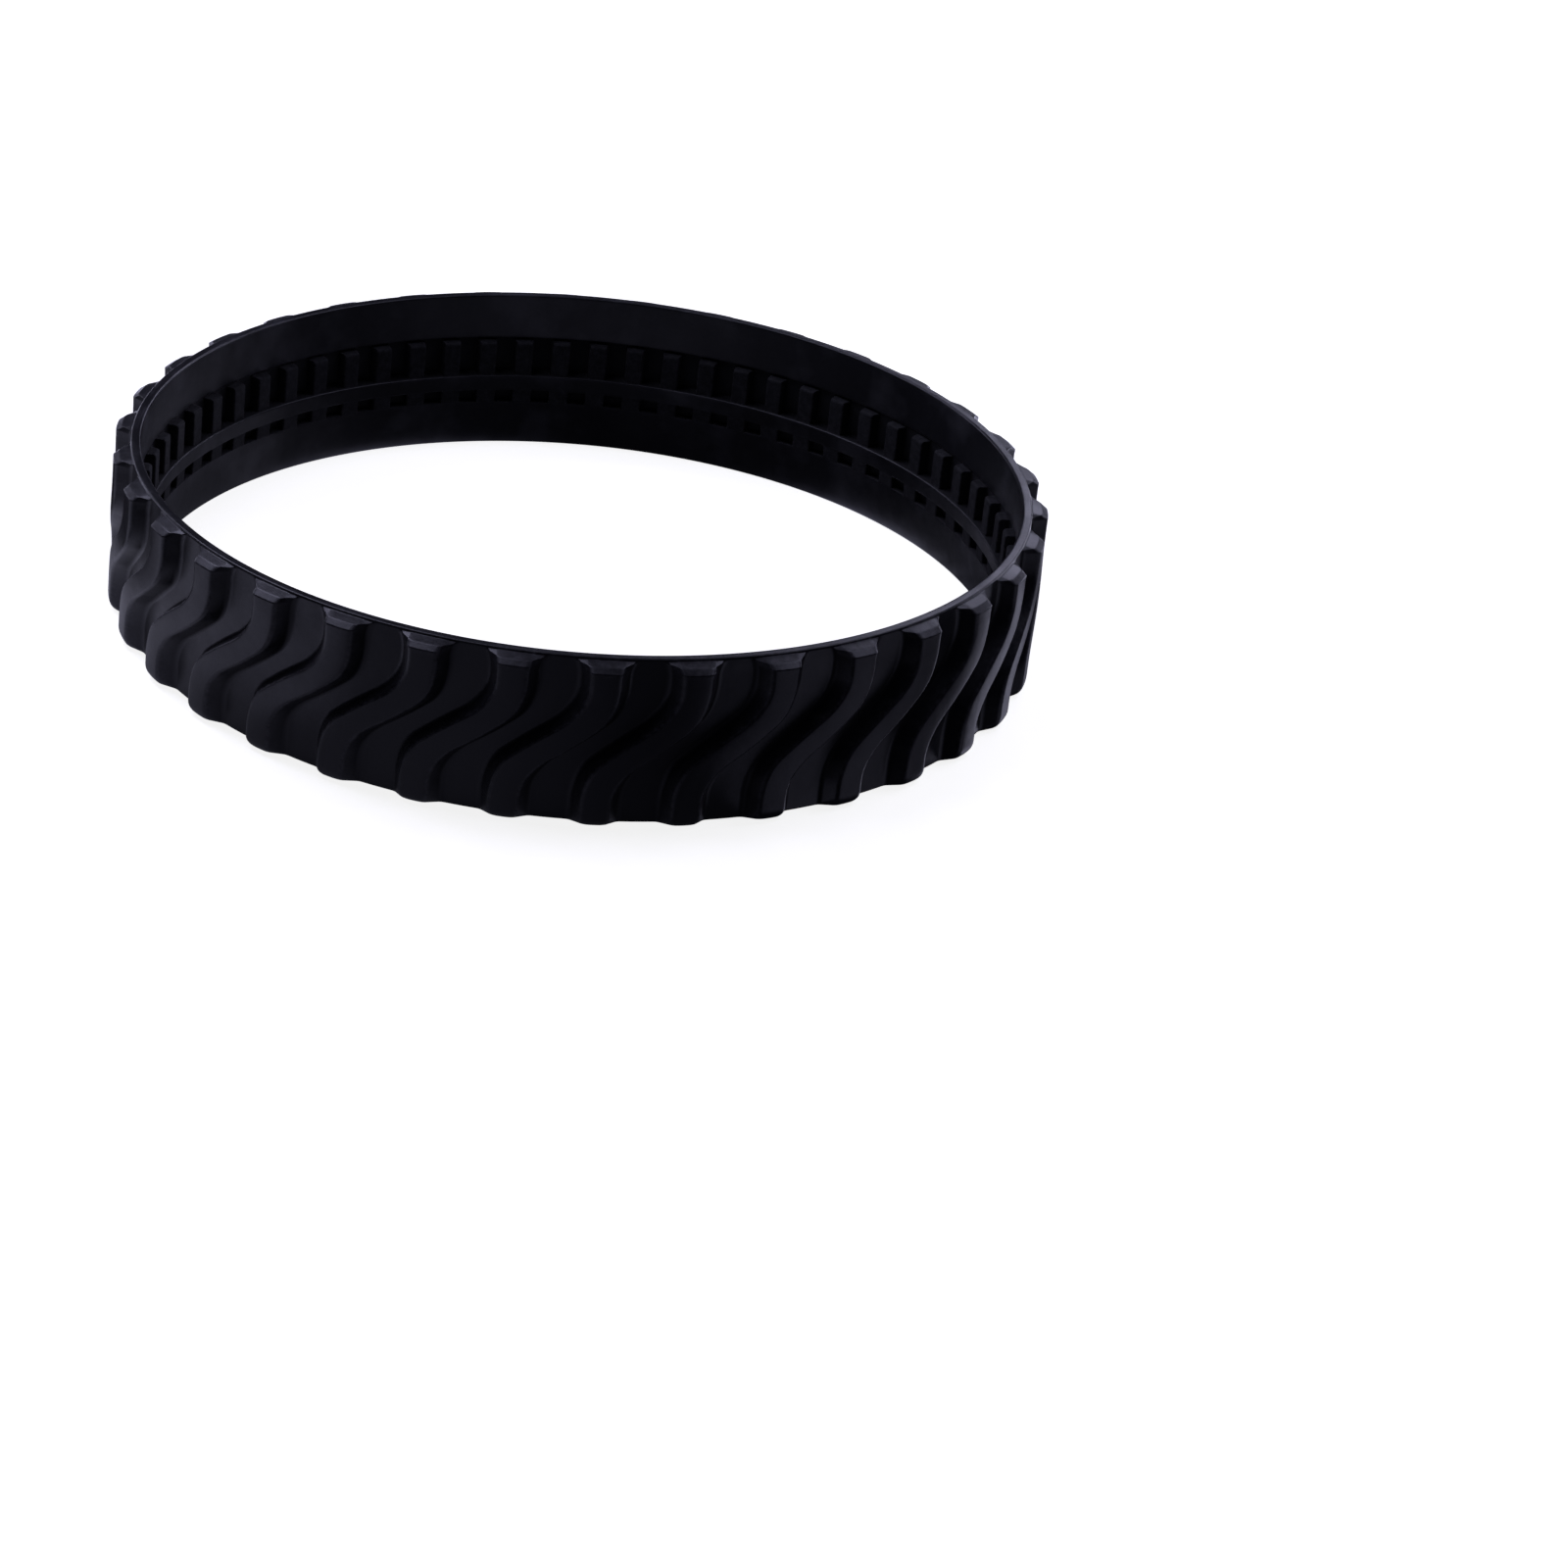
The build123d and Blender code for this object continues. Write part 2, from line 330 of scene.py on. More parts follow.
def land_rows():
    """Rows from the upper rim's flat down the smooth land to the channel's floor."""
    rim_centre = (LAND_RADIUS + RIM_ROUNDING, HALF_WIDTH - RIM_ROUNDING)
    corner_centre = (LAND_RADIUS + LAND_CORNER, LAND_BOTTOM + LAND_CORNER)
    points = [(UPPER_RIM_FLAT[0], HALF_WIDTH)]
    points += arc(rim_centre, RIM_ROUNDING, 90, 180, ROUNDING_ROWS)
    for z in np.linspace(HALF_WIDTH - 1.5, LAND_BOTTOM + 1.0, LAND_FACE_ROWS):
        points.append((LAND_RADIUS, z))
    points += arc(corner_centre, LAND_CORNER, 180, 270, SMALL_ROUNDING_ROWS)
    points += [(CHANNEL_RADIUS - CRISP, LAND_BOTTOM), (CHANNEL_RADIUS, LAND_BOTTOM - CRISP)]
    return [(point, point) for point in points]


def tooth_rows():
    """Rows down the teeth, from above their tops to the ledge that they stand on."""
    above = TOOTH_TOP + 1.5 * CRISP
    rows = [((CHANNEL_RADIUS, above), (CHANNEL_RADIUS - CRISP, TOOTH_TOP + CRISP))]
    rows.append(((CHANNEL_RADIUS, TOOTH_TOP), (CHANNEL_RADIUS - 3.5 * CRISP, TOOTH_TOP)))
    tip_centre = (TOOTH_TIP_RADIUS + TOOTH_ROUNDING, TOOTH_TOP - TOOTH_ROUNDING)
    tip = arc(tip_centre, TOOTH_ROUNDING, 90, 180, ROUNDING_ROWS)
    for share, point in zip(np.linspace(0.1, 1, ROUNDING_ROWS), tip):
        rows.append(((CHANNEL_RADIUS, TOOTH_TOP - share * TOOTH_ROUNDING), point))
    for z in np.linspace(TOOTH_TOP - TOOTH_ROUNDING - 1, RAIL_TOP + 1.2, TOOTH_FACE_ROWS):
        rows.append(((CHANNEL_RADIUS, z), (TOOTH_TIP_RADIUS, z)))
    fillet_centre = (CHANNEL_RADIUS - LEDGE_FILLET, RAIL_TOP + LEDGE_FILLET)
    fillet = arc(fillet_centre, LEDGE_FILLET, 0, -90, SMALL_ROUNDING_ROWS)
    for share, point in zip((0, 0.4, 0.8, 1), fillet):
        high = (TOOTH_TIP_RADIUS - CRISP * share, RAIL_TOP + LEDGE_FILLET * (1 - share))
        rows.append((point, high))
    return rows


def rail_radius(z):
    """Radius of the guide rail's sloping face at a height."""
    share = (RAIL_TOP - z) / (RAIL_TOP + HALF_WIDTH)
    return RAIL_RADIUS + (RAIL_FOOT_RADIUS - RAIL_RADIUS) * share


def face_row(z):
    """A plain row on the guide rail's face."""
    return (rail_radius(z), z), (rail_radius(z), z)


def pocket_row(z, share):
    """A row that reaches a share of the way into the pockets."""
    radius = rail_radius(z)
    return (radius + share * (POCKET_BOTTOM_RADIUS - radius), z), (radius, z)


def rail_rows():
    """Rows over the guide rail's crest and down its face, with the pockets, to the lower rim's flat."""
    crest = RAIL_RADIUS + RAIL_ROUNDING
    rows = [((crest + 1.0, RAIL_TOP), (crest + 0.06, RAIL_TOP))]
    for point in arc((crest, RAIL_TOP - RAIL_ROUNDING), RAIL_ROUNDING, 90, 176, ROUNDING_ROWS):
        rows.append((point, point))
    upper = POCKET_CENTRE + POCKET_HALF_HEIGHT
    lower = POCKET_CENTRE - POCKET_HALF_HEIGHT
    rows += [face_row(-3.0), face_row(upper + 0.6)]
    rows += [pocket_row(upper + away, share) for away, share in POCKET_EDGE]
    rows += [pocket_row(lower - away, share) for away, share in reversed(POCKET_EDGE)]
    rows += [face_row(z) for z in np.linspace(lower - 1.0, -HALF_WIDTH + 1.0, RAIL_FACE_ROWS)]
    foot_centre = (RAIL_FOOT_RADIUS + RAIL_ROUNDING, -HALF_WIDTH + RAIL_ROUNDING)
    for point in arc(foot_centre, RAIL_ROUNDING, 180, 270, ROUNDING_ROWS):
        rows.append((point, point))
    flat = (LOWER_RIM_FLAT[0], -HALF_WIDTH)
    rows.append((flat, flat))
    return rows


# ---------------------------------------------------------------- the whole skin
class Skin:
    """Vertices and faces of the loop, with the numbers that the material reads."""

    def __init__(self):
        self.points = []
        self.values = {layer: [] for layer in LAYERS}
        self.faces = []

    def add_row(self, angles, radii, heights, wear_and_highlight, tread, exposure):
        """Adds a ring of vertices and returns their numbers."""
        first = len(self.points)
        self.points += list(zip(radii * np.cos(angles), radii * np.sin(angles), heights))
        self.values["wear_and_highlight"] += list(wear_and_highlight)
        self.values["tread"] += list(tread)
        self.values["exposure"] += [exposure] * len(angles)
        return list(range(first, first + len(angles)))

    def join(self, rings):
        """Faces between each ring and the next."""
        for below, above in zip(rings, rings[1:]):
            count = len(below)
            for i in range(count):
                j = (i + 1) % count
                self.faces.append((below[i], below[j], above[j], above[i]))


def between(ends, share):
    """The value a share of the way between two ends."""
    return ends[0] + share * (ends[1] - ends[0])


def mixed(row, rise):
    """Radius and height of each column of a row."""
    low, high = row
    return between((low[0], high[0]), rise), between((low[1], high[1]), rise)


def bump_of(values, middle, spread):
    """1 where the values are at the middle, 0 a spread away."""
    return np.clip(1 - np.abs(values - middle) / spread, 0, 1)


def build_outside(skin):
    """Adds the tread, and returns the rings at its lower and upper rims."""
    rings = []
    for row in outer_rows():
        on_bar = row[1][0] > ON_BAR_RADIUS
        z = row[1][1] if on_bar else row[0][1]
        share = middle_share(z)
        lean = flare(z)
        top_half = between(BAR_TOP_HALF, share) + lean * FLARE_AT_TOP - narrowing(z)
        foot_half = between(BAR_FOOT_HALF, share) + lean
        across, rise = full_step(top_half, foot_half, BAR_HEIGHT, BAR_PITCH / 2,
                                 BAR_EDGE, BAR_FILLET, BAR_CORNER_POINTS)
        crown = BAR_CROWN * (np.clip(np.abs(across) / top_half, 0, 1) ** 2)
        radii, heights = mixed(row, rise)
        radii = radii - crown * rise * (radii > ON_BAR_RADIUS)
        # edge wear and painted highlight: lighter along the running face's edges and over the bars' ends
        worn_highlit_end = z > HALF_WIDTH - UPPER_WEAR_HIGHLIGHT or z < -HALF_WIDTH + LOWER_WEAR_HIGHLIGHT
        wear_and_highlight = np.maximum(bump_of(np.abs(across), top_half, WEAR_HIGHLIGHT_REACH), END_WEAR_HIGHLIGHT * worn_highlit_end * rise)
        middles = np.radians(BAR_PHASE + np.arange(BAR_COUNT) * 360 / BAR_COUNT)
        angles = (middles[:, None] + (across + bar_shift(z))[None, :] / GROOVE_RADIUS).ravel()
        rings.append(skin.add_row(angles, np.tile(radii, BAR_COUNT), np.tile(heights, BAR_COUNT),
                                  np.tile(wear_and_highlight, BAR_COUNT), np.tile(rise, BAR_COUNT), OUTSIDE))
    skin.join(rings)
    return rings[0], rings[-1]


def build_inside(skin):
    """Adds the land, teeth and rail, and returns the rings at the upper and lower rims."""
    rings = []
    for row in land_rows() + tooth_rows() + rail_rows():
        z = row[0][1]
        if z > TEETH_END:
            sizes = (TOOTH_TOP_HALF, TOOTH_FOOT_HALF, TOOTH_HEIGHT)
        else:
            sizes = (POCKET_TOP_HALF, POCKET_FOOT_HALF, POCKET_DEPTH)
        across, rise = full_step(*sizes, TOOTH_PITCH / 2, TOOTH_EDGE, TOOTH_EDGE, TOOTH_CORNER_POINTS)
        radii, heights = mixed(row, rise)
        middles = np.radians(TOOTH_PHASE + np.arange(TOOTH_COUNT) * 360 / TOOTH_COUNT)
        angles = (middles[:, None] + across[None, :] / CHANNEL_RADIUS).ravel()
        plain = row[0] == row[1]
        # edge wear and painted highlight along the edges of the teeth and pockets
        wear_and_highlight = bump_of(rise, *TOOTH_WEAR_HIGHLIGHT) * (not plain)
        on_face = z > LAND_BOTTOM or z < TEETH_END and plain
        rings.append(skin.add_row(angles, np.tile(radii, TOOTH_COUNT), np.tile(heights, TOOTH_COUNT),
                                  np.tile(wear_and_highlight, TOOTH_COUNT), np.zeros(len(angles)),
                                  LAND if on_face else CHANNEL))
    skin.join(rings)
    return rings[0], rings[-1]


def stitch(skin, ring_a, ring_b):
    """Closes the flat between two rings that have different numbers of columns."""
    points = np.array(skin.points)

    def by_angle(ring):
        angles = np.arctan2(points[ring, 1], points[ring, 0]) % (2 * math.pi)
        order = np.argsort(angles)
        return [ring[i] for i in order], list(angles[order])

    a, angles_a = by_angle(ring_a)
    b, angles_b = by_angle(ring_b)
    angles_a.append(angles_a[0] + 2 * math.pi)
    angles_b.append(angles_b[0] + 2 * math.pi)
    i = j = 0
    while i < len(a) or j < len(b):
        step_a = j >= len(b) or (i < len(a) and angles_a[i + 1] <= angles_b[j + 1])
        if step_a:
            skin.faces.append((a[i % len(a)], a[(i + 1) % len(a)], b[j % len(b)]))
            i += 1
        else:
            skin.faces.append((a[i % len(a)], b[(j + 1) % len(b)], b[j % len(b)]))
            j += 1


def whole_loop():
    """The closed skin as a bmesh, in metres."""
    skin = Skin()
    outer_bottom, outer_top = build_outside(skin)
    inner_top, inner_bottom = build_inside(skin)
    stitch(skin, outer_top, inner_top)
    stitch(skin, inner_bottom, outer_bottom)
    bm = bmesh.new()
    for layer in LAYERS:
        bm.verts.layers.float.new(layer)
    verts = [bm.verts.new([c * MM for c in point]) for point in skin.points]
    for layer in LAYERS:
        store = bm.verts.layers.float[layer]
        for vert, value in zip(verts, skin.values[layer]):
            vert[store] = value
    for face in skin.faces:
        bm.faces.new([verts[i] for i in face])
    bmesh.ops.recalc_face_normals(bm, faces=bm.faces)
    return bm


# ---------------------------------------------------------------- spans that move together
SHORTEST_SPAN = 1.0                     # degrees; where two bends meet nothing is left between them


def zone_spans():
    """Stretches of the loop in degrees, each with the bodies before and after it and its joint."""
    joints = []
    for joint in frame["joints"]:
        x, y, _ = joint["pos_m"]
        angle = math.degrees(math.atan2(y, x)) % 360
        before, after = joint["parent"], joint["child"]
        if joint["axis"][2] < 0:
            before, after = after, before
        joints.append((angle, before, after, joint))
    joints.sort(key=lambda item: item[0])
    reach = min(b[0] - a[0] for a, b in zip(joints, joints[1:])) / 2
    spans = []
    for index, (angle, before, after, joint) in enumerate(joints):
        spans.append((angle - reach, angle + reach, before, after, joint))
        next_angle, next_before = joints[(index + 1) % len(joints)][:2]
        if next_angle < angle:
            next_angle += 360
        start = angle + reach
        end = next_angle - reach
        if end - start < SHORTEST_SPAN:
            continue
        if after == next_before:
            spans.append((start, end, after, after, None))
        else:
            # the loop's parting: its two ends belong to different bodies
            middle = (start + end) / 2
            spans.append((start, middle, after, after, None))
            spans.append((middle, end, next_before, next_before, None))
    return spans


def cut_at(bm, angle):
    """Adds edges where a plane through the loop's axis crosses the skin."""
    normal = Vector((-math.sin(math.radians(angle)), math.cos(math.radians(angle)), 0))
    geometry = bm.verts[:] + bm.edges[:] + bm.faces[:]
    bmesh.ops.bisect_plane(bm, geom=geometry, dist=1e-7, plane_co=(0, 0, 0), plane_no=normal)


def smooth_normals(bm):
    """Normal of each vertex, weighted by the areas of its faces, so that flats stay flat."""
    normals = np.zeros((len(bm.verts), 3))
    for face in bm.faces:
        weighted = np.array(face.normal) * face.calc_area()
        for vert in face.verts:
            normals[vert.index] += weighted
    lengths = np.linalg.norm(normals, axis=1)
    return normals / np.maximum(lengths, 1e-12)[:, None]


def close_ends(part):
    """Flat faces over a stretch's two open ends, facing away from it."""
    open_edges = [edge for edge in part.edges if edge.is_boundary]
    caps = bmesh.ops.edgeloop_fill(part, edges=open_edges)["faces"]
    middle = sum((vert.co for vert in part.verts), Vector()) / len(part.verts)
    for cap in caps:
        cap.normal_update()
        if cap.normal.dot(cap.calc_center_median() - middle) < 0:
            cap.normal_flip()
    bmesh.ops.triangulate(part, faces=caps)


def span_object(name, bm, faces, normals):
    """One stretch of the skin as its own closed mesh, with flat ends where it was parted."""
    part = bmesh.new()
    layers = {}
    for layer in LAYERS:
        layers[bm.verts.layers.float[layer]] = part.verts.layers.float.new(layer)
    made, used = {}, []
    for face in faces:
        for vert in face.verts:
            if vert.index not in made:
                copy = part.verts.new(vert.co)
                for old, new in layers.items():
                    copy[new] = vert[old]
                made[vert.index] = copy
                used.append(vert.index)
        part.faces.new([made[vert.index] for vert in face.verts]).smooth = True
    part.verts.index_update()
    close_ends(part)
    mesh = bpy.data.meshes.new(name)
    part.to_mesh(mesh)
    part.free()
    rest = mesh.attributes.new("rest", "FLOAT_VECTOR", "POINT")
    rest.data.foreach_set("vector", np.array([v.co for v in mesh.vertices], np.float32).ravel())
    kept = normals[used]
    corner_normals = []
    for polygon in mesh.polygons:
        for corner in polygon.vertices:
            normal = kept[corner] if polygon.use_smooth else polygon.normal
            corner_normals.append(tuple(normal))
    mesh.normals_split_custom_set(corner_normals)
    piece = bpy.data.objects.new(name, mesh)
    bpy.context.scene.collection.objects.link(piece)
    return piece


# ---------------------------------------------------------------- material
def rubber_material():
    """Satin black rubber with painted shade in its channel, worn along its edges with painted highlights
    there, faint dust with painted light on the land, and mould grain.
    """
    material = bpy.data.materials.new("moulded_rubber")
    material.use_nodes = True
    nodes, links = material.node_tree.nodes, material.node_tree.links
    nodes.clear()

    def node(kind, **settings):
        made = nodes.new(kind)
        for key, value in settings.items():
            setattr(made, key, value)
        return made

    def noise(scale, detail, roughness):
        made = node("ShaderNodeTexNoise")
        made.inputs["Scale"].default_value = scale
        made.inputs["Detail"].default_value = detail
        made.inputs["Roughness"].default_value = roughness
        links.new(rest.outputs["Vector"], made.inputs["Vector"])
        return made.outputs["Fac"]

    def remap(value, low, high, to_low, to_high):
        made = node("ShaderNodeMapRange")
        made.inputs["From Min"].default_value = low
        made.inputs["From Max"].default_value = high
        made.inputs["To Min"].default_value = to_low
        made.inputs["To Max"].default_value = to_high
        links.new(value, made.inputs["Value"])
        return made.outputs["Result"]

    def maths(operation, first, second):
        made = node("ShaderNodeMath", operation=operation)
        for socket, value in zip(made.inputs, (first, second)):
            if isinstance(value, (int, float)):
                socket.default_value = value
            else:
                links.new(value, socket)
        return made.outputs["Value"]

    def mix(factor, first, second):
        made = node("ShaderNodeMix", data_type="RGBA")
        links.new(factor, made.inputs["Factor"])
        for socket, value in (("A", first), ("B", second)):
            target = [i for i in made.inputs if i.name == socket and i.type == "RGBA"][0]
            if isinstance(value, tuple):
                target.default_value = (*value, 1)
            else:
                links.new(value, target)
        return [o for o in made.outputs if o.type == "RGBA"][0]

    def bump(height, strength, distance, normal=None):
        made = node("ShaderNodeBump")
        made.inputs["Strength"].default_value = strength
        made.inputs["Distance"].default_value = distance
        links.new(height, made.inputs["Height"])
        if normal is not None:
            links.new(normal, made.inputs["Normal"])
        return made.outputs["Normal"]

    rest = node("ShaderNodeAttribute", attribute_name="rest")
    wear_and_highlight = node("ShaderNodeAttribute", attribute_name="wear_and_highlight").outputs["Fac"]
    tread = node("ShaderNodeAttribute", attribute_name="tread").outputs["Fac"]
    exposure = node("ShaderNodeAttribute", attribute_name="exposure").outputs["Fac"]

    # patterns fixed to the resting shape, from 36 mm clouds down to 0.4 mm grain
    clouds = noise(28, 4, 0.6)
    patches = noise(95, 5, 0.65)
    blotches = noise(60, 3, 0.55)
    grain = noise(2600, 3, 0.6)
    scuffs = noise(620, 6, 0.75)

    # painted shade: the recessed channel, its teeth, ledge and pocket rows get a darker black than the
    # rubber's own black on the land and the outside
    cloudy = remap(clouds, 0.3, 0.7, 0, 1)
    channel = mix(cloudy, *SHADED_CHANNEL_BLACKS)
    unshaded_black = mix(cloudy, *UNSHADED_BLACKS)
    base = mix(remap(exposure, CHANNEL, LAND, 0, 1), channel, unshaded_black)
    # dust and painted light: lighter grey blotches on the land and the rail's face only, standing in also
    # for their patchy lighting
    off_tread = remap(exposure, LAND, OUTSIDE, 1, 0)
    off_channel = remap(exposure, 0.2, LAND, 0, DUST_AND_LIGHT_COVER)
    dust_and_light_places = maths("MULTIPLY", off_tread, off_channel)
    dust_and_light = maths("MULTIPLY", remap(blotches, 0.50, 0.68, 0, 1), dust_and_light_places)
    base = mix(dust_and_light, base, DUST_AND_LIGHT_GREY)
    base = mix(remap(patches, 0.55, 0.8, 0, 0.5), base, PATCH_GREY)
    # scuffed edges, lightened grey both as wear and as a painted highlight, and scuffed running faces
    worn_highlight = maths("MULTIPLY", remap(scuffs, 0.42, 0.7, 0, 1), wear_and_highlight)
    base = mix(maths("MULTIPLY", worn_highlight, 0.7), base, WORN_HIGHLIGHT_GREY)
    face_scuffs = maths("MULTIPLY", remap(scuffs, 0.58, 0.75, 0, 0.45), tread)
    base = mix(face_scuffs, base, SCUFF_GREY)

    roughness = remap(patches, 0.25, 0.75, *ROUGHNESS)
    roughness = maths("ADD", roughness, maths("MULTIPLY", worn_highlight, 0.10))
    roughness = maths("ADD", roughness, remap(grain, 0.3, 0.7, -0.03, 0.03))
    roughness = maths("ADD", roughness, remap(exposure, CHANNEL, LAND, CHANNEL_ROUGHER, 0))

    normal = bump(clouds, 0.35, 0.0012)
    normal = bump(patches, 0.30, 0.00025, normal)
    normal = bump(grain, 0.35, 0.00003, normal)

    shader = node("ShaderNodeBsdfPrincipled")
    shader.inputs["IOR"].default_value = 1.5
    shader.inputs["Specular IOR Level"].default_value = 0.5
    shader.inputs["Specular Tint"].default_value = (*GLOSS_TINT, 1)
    links.new(base, shader.inputs["Base Color"])
    links.new(roughness, shader.inputs["Roughness"])
    links.new(normal, shader.inputs["Normal"])
    output = node("ShaderNodeOutputMaterial")
    links.new(shader.outputs["BSDF"], output.inputs["Surface"])
    return material


# ---------------------------------------------------------------- build the track
def build_track():
    """Parts the skin into spans, and gives each one its body or its bend."""
    rubber = rubber_material()
    loop = whole_loop()
    spans = zone_spans()
    for angle in sorted({round(span[0] % 180, 3) for span in spans}):
        cut_at(loop, angle)
    loop.verts.index_update()
    loop.faces.ensure_lookup_table()
    loop.normal_update()
    normals = smooth_normals(loop)
    centres = np.array([face.calc_center_median() for face in loop.faces])
    angles = np.degrees(np.arctan2(centres[:, 1], centres[:, 0])) % 360
    shown = set()
    for start, end, before, after, joint in spans:
        inside = (angles - start) % 360 < end - start
        faces = [loop.faces[i] for i in np.nonzero(inside)[0]]
        name = "rubber_" + (joint["name"] if joint else before)
        piece = span_object(name, loop, faces, normals)
        piece.data.materials.append(rubber)
        if joint:
            turn = Vector(joint["pos_m"])
            along = Vector((-turn.y, turn.x, 0)).normalized()
            reach = BLEND_RADIUS * MM * math.sin(math.radians((end - start) / 2))
            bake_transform(piece, before, after, start=turn - along * reach, end=turn + along * reach)
        else:
            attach(piece, before)
        for body in (before, after):
            if body not in shown:
                shown.add(body)
                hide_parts(*frame["record"]["behaviour"]["bodies"][body])
    loop.free()


# ---------------------------------------------------------------- floor, light and camera
# Soft lights stand behind and above the track, but what its upright faces mirror is the table.
# Close to the track a ring of the table glows. Further away, big soft lights under the floor
# stand for the table, and show where the ring is left open. Lengths are in metres, directions in
# degrees, and a panel's size is its width and height.
PANEL_DISTANCE = 0.9
COOL_WHITE = (0.77, 0.765, 1.0)
WORLD_BLUE = (0.62, 0.60, 1.0)
AMBIENT = 0.012
# Azimuth, spread and strength of the bright parts of the table.
TABLE_GLOWS = ((196, 36, 0.60), (130, 17, 3.2), (50, 14, 4.8), (263, 24, 0.125))
TABLE_DROP = 0.0003                     # the glowing table lies this far under the track
TABLE_SECTORS = 72
OPEN_FROM = 0.1                         # radius inside which the table is closed all the way round
CLOSED_AZIMUTHS = ((15, 85), (98, 158), (240, 298))
NEAR_CLOSED_AZIMUTHS = (158, 240)       # closed here only out to the near radius
NEAR_RADIUS = 0.12
INNER_GLOW = 0.30                       # patch of lit table in the middle of the loop
INNER_RADIUS = 0.055
# Radii of the table's rings, and the share of the side lights' glow at each.
TABLE_RINGS = ((0.001, 0.0), (INNER_RADIUS * 0.6, 0.0), (INNER_RADIUS, 0.0), (0.095, 0.0),
               (0.103, 0.5), (0.112, 1.0), (0.124, 1.0), (0.30, 1.0), (0.75, 0.4))
STAGE_HALF = 4.0
LOW = -27                               # elevation of the lights under the floor


def panel(name, azimuth, elevation, size, glow):
    """Flat light seen from the track in a direction, in degrees, with an even brightness."""
    turn = math.radians(azimuth)
    tilt = math.radians(elevation)
    direction = Vector((math.cos(tilt) * math.cos(turn), math.cos(tilt) * math.sin(turn), math.sin(tilt)))
    lamp = bpy.data.lights.new(name, "AREA")
    lamp.shape = "RECTANGLE"
    lamp.size, lamp.size_y = size
    lamp.energy = glow * math.pi * size[0] * size[1]
    lamp.color = COOL_WHITE
    light = bpy.data.objects.new(name, lamp)
    light.location = direction * PANEL_DISTANCE
    light.rotation_euler = (-direction).to_track_quat("-Z", "Y").to_euler()
    light.visible_camera = False
    bpy.context.scene.collection.objects.link(light)


def backdrop(name, mesh, glow, albedo):
    """Pale stage that the camera sees, and that sends no light back to the rubber."""
    material = bpy.data.materials.new(name)
    material.use_nodes = True
    shader = material.node_tree.nodes["Principled BSDF"]
    shader.inputs["Base Color"].default_value = (albedo, albedo, albedo, 1)
    shader.inputs["Roughness"].default_value = 1.0
    shader.inputs["Specular IOR Level"].default_value = 0.0
    shader.inputs["Emission Color"].default_value = (1, 1, 1, 1)
    shader.inputs["Emission Strength"].default_value = glow
    mesh.materials.append(material)
    stage = bpy.data.objects.new(name, mesh)
    stage.visible_glossy = False
    stage.visible_diffuse = False
    stage.visible_shadow = False
    bpy.context.scene.collection.objects.link(stage)


def side_glow(azimuth):
    """How much brighter than its surroundings the table is beside the track."""
    glow = 0.0
    for middle, spread, strength in TABLE_GLOWS:
        away = (azimuth - middle + 180) % 360 - 180
        glow += strength * math.exp(-(away / spread) ** 2)
    return glow


def table_closed(radius, azimuth):
    """Whether the glowing table has a face from a radius outwards at an azimuth."""
    low, high = NEAR_CLOSED_AZIMUTHS
    near = low <= azimuth < high and radius < NEAR_RADIUS
    return radius < OPEN_FROM or near or any(start <= azimuth < end for start, end in CLOSED_AZIMUTHS)


def glow_material():
    """Emission of the strength stored in the mesh's glow attribute."""
    material = bpy.data.materials.new("table_bounce")
    material.use_nodes = True
    nodes, links = material.node_tree.nodes, material.node_tree.links
    nodes.clear()
    strength = nodes.new("ShaderNodeAttribute")
    strength.attribute_name = "glow"
    emission = nodes.new("ShaderNodeEmission")
    emission.inputs["Color"].default_value = (*COOL_WHITE, 1)
    output = nodes.new("ShaderNodeOutputMaterial")
    links.new(strength.outputs["Fac"], emission.inputs["Strength"])
    links.new(emission.outputs["Emission"], output.inputs["Surface"])
    return material


def table_bounce():
    """Light that the lit table sends back up. The camera sees the plain floor instead."""
    height = cad_box[0].z - TABLE_DROP
    azimuths = [sector * 360 / TABLE_SECTORS for sector in range(TABLE_SECTORS)]
    points, glows, faces = [], [], []
    for radius, share in TABLE_RINGS:
        for azimuth in azimuths:
            turn = math.radians(azimuth)
            points.append((radius * math.cos(turn), radius * math.sin(turn), height))
            glows.append(INNER_GLOW if radius < INNER_RADIUS else AMBIENT + share * side_glow(azimuth))
    for ring, (radius, _) in enumerate(TABLE_RINGS[:-1]):
        low, high = ring * TABLE_SECTORS, (ring + 1) * TABLE_SECTORS
        for sector, azimuth in enumerate(azimuths):
            following = (sector + 1) % TABLE_SECTORS
            if table_closed(radius, azimuth):
                faces.append((low + sector, high + sector, high + following, low + following))
    mesh = bpy.data.meshes.new("table_bounce")
    mesh.from_pydata(points, [], faces)
    mesh.attributes.new("glow", "FLOAT", "POINT").data.foreach_set("value", glows)
    mesh.materials.append(glow_material())
    table = bpy.data.objects.new("table_bounce", mesh)
    table.visible_camera = False
    table.visible_shadow = False
    bpy.context.scene.collection.objects.link(table)


def build_stage():
    """Floor and dome."""
    floor_z = cad_box[0].z
    floor = bpy.data.meshes.new("studio_floor")
    corners = [(x * STAGE_HALF, y * STAGE_HALF, floor_z) for x, y in ((-1, -1), (1, -1), (1, 1), (-1, 1))]
    floor.from_pydata(corners, [], [(0, 1, 2, 3)])
    backdrop("studio_floor", floor, 0.86, 0.9)
    bm = bmesh.new()
    bmesh.ops.create_uvsphere(bm, u_segments=48, v_segments=24, radius=STAGE_HALF * 0.98)
    dome = bpy.data.meshes.new("studio_dome")
    bm.to_mesh(dome)
    bm.free()
    backdrop("studio_dome", dome, 1.0, 0.0)


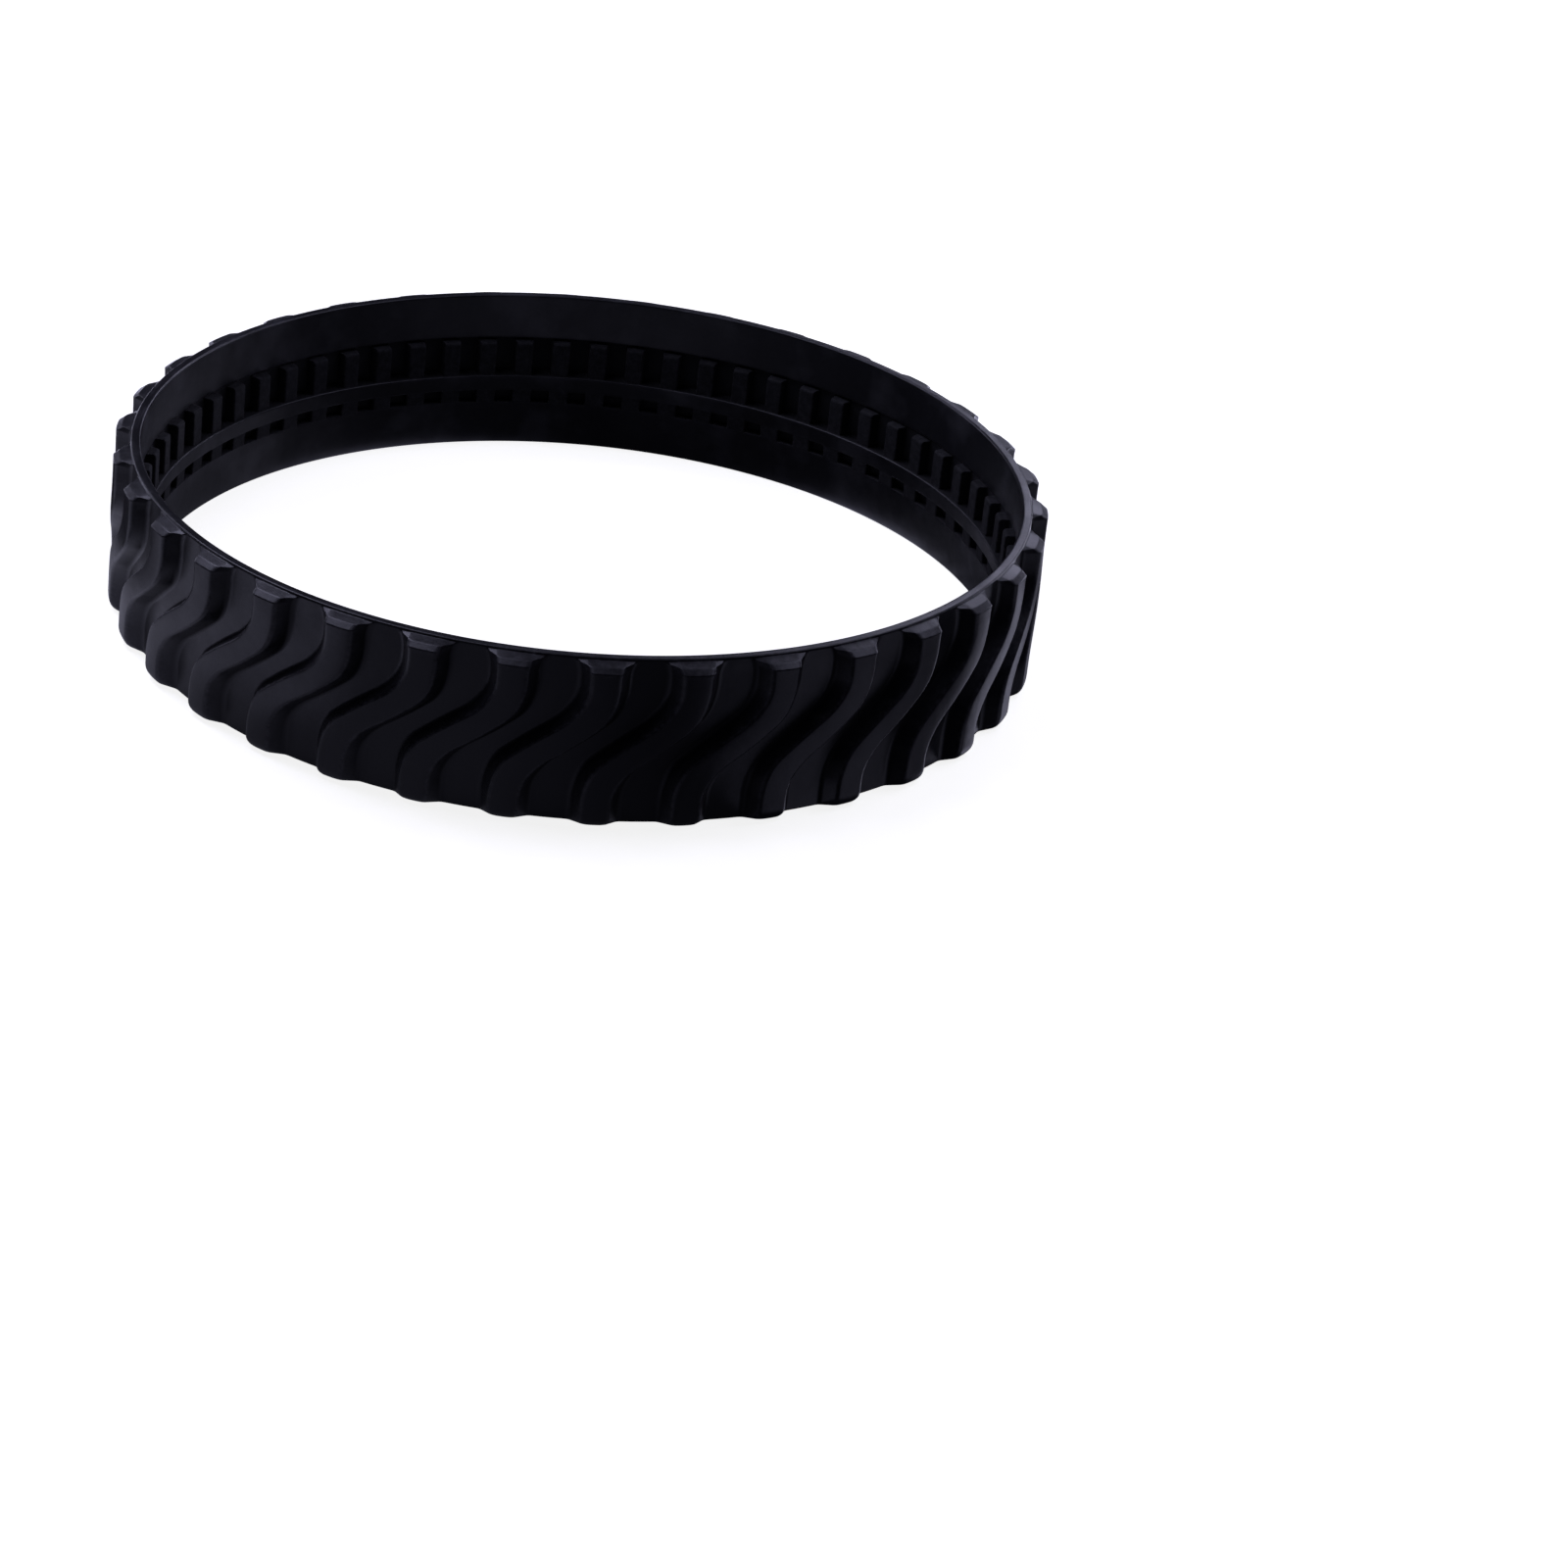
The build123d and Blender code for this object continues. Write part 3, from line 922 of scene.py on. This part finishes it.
def build_lights():
    """A dim blue surround, the table's glow and the soft lights."""
    world = bpy.data.worlds.new("studio")
    world.use_nodes = True
    background = world.node_tree.nodes["Background"]
    background.inputs["Color"].default_value = (*WORLD_BLUE, 1)
    background.inputs["Strength"].default_value = AMBIENT
    bpy.context.scene.world = world
    table_bounce()
    panel("left_rim_light", 150, 10, (0.40, 0.22), 2.5)
    panel("right_rim_light", 42, 10, (0.40, 0.22), 4.0)
    panel("left_softbox", 151, 50, (0.42, 0.30), 4.6)
    panel("top_softbox", 180, 71, (0.28, 0.28), 3.4)
    panel("right_softbox", 30, 55, (0.42, 0.34), 2.2)
    panel("low_back_softbox", 75, 27, (0.32, 0.22), 4.2)
    panel("left_table_light", 188, LOW, (0.84, 0.42), 0.62)
    panel("front_left_table_light", 227, LOW, (0.44, 0.42), 0.36)
    panel("right_table_light", 340, LOW, (0.75, 0.42), 0.32)
    panel("far_right_table_light", 44, LOW, (0.36, 0.42), 1.1)
    bpy.context.scene.view_settings.view_transform = "Standard"


# The camera looks along +Y and down, turned and rolled a little. Lengths are in metres, apart
# from the sensor and lens in mm.
CAMERA_TURN = math.radians(3.4)
CAMERA_ELEVATION = math.radians(27.0)
CAMERA_ROLL = math.radians(6.45)
CAMERA_DISTANCE = 1.078
TRACK_ASIDE = -0.0471                   # where the loop's middle is in the view, to the right
TRACK_ABOVE = 0.0564                    # and up from the view's middle
SENSOR_WIDTH = 36
LENS = 108.1


def build_camera():
    """Sets the camera so that the loop's middle is up and left of the view's middle."""
    ahead = Vector((-math.sin(CAMERA_TURN), math.cos(CAMERA_TURN), 0))
    level_right = Vector((math.cos(CAMERA_TURN), math.sin(CAMERA_TURN), 0))
    forward = math.cos(CAMERA_ELEVATION) * ahead - math.sin(CAMERA_ELEVATION) * Vector((0, 0, 1))
    level_up = level_right.cross(forward)
    right = math.cos(CAMERA_ROLL) * level_right + math.sin(CAMERA_ROLL) * level_up
    up = -math.sin(CAMERA_ROLL) * level_right + math.cos(CAMERA_ROLL) * level_up
    place = -CAMERA_DISTANCE * forward - TRACK_ASIDE * right - TRACK_ABOVE * up
    camera = bpy.data.objects.new("camera", bpy.data.cameras.new("camera"))
    axes = Matrix((right, up, -forward)).transposed().to_4x4()
    camera.matrix_world = Matrix.Translation(place) @ axes
    camera.data.sensor_width = SENSOR_WIDTH
    camera.data.lens = LENS
    bpy.context.scene.collection.objects.link(camera)
    bpy.context.scene.camera = camera


build_track()
build_stage()
build_lights()
build_camera()
bpy.context.view_layer.update()
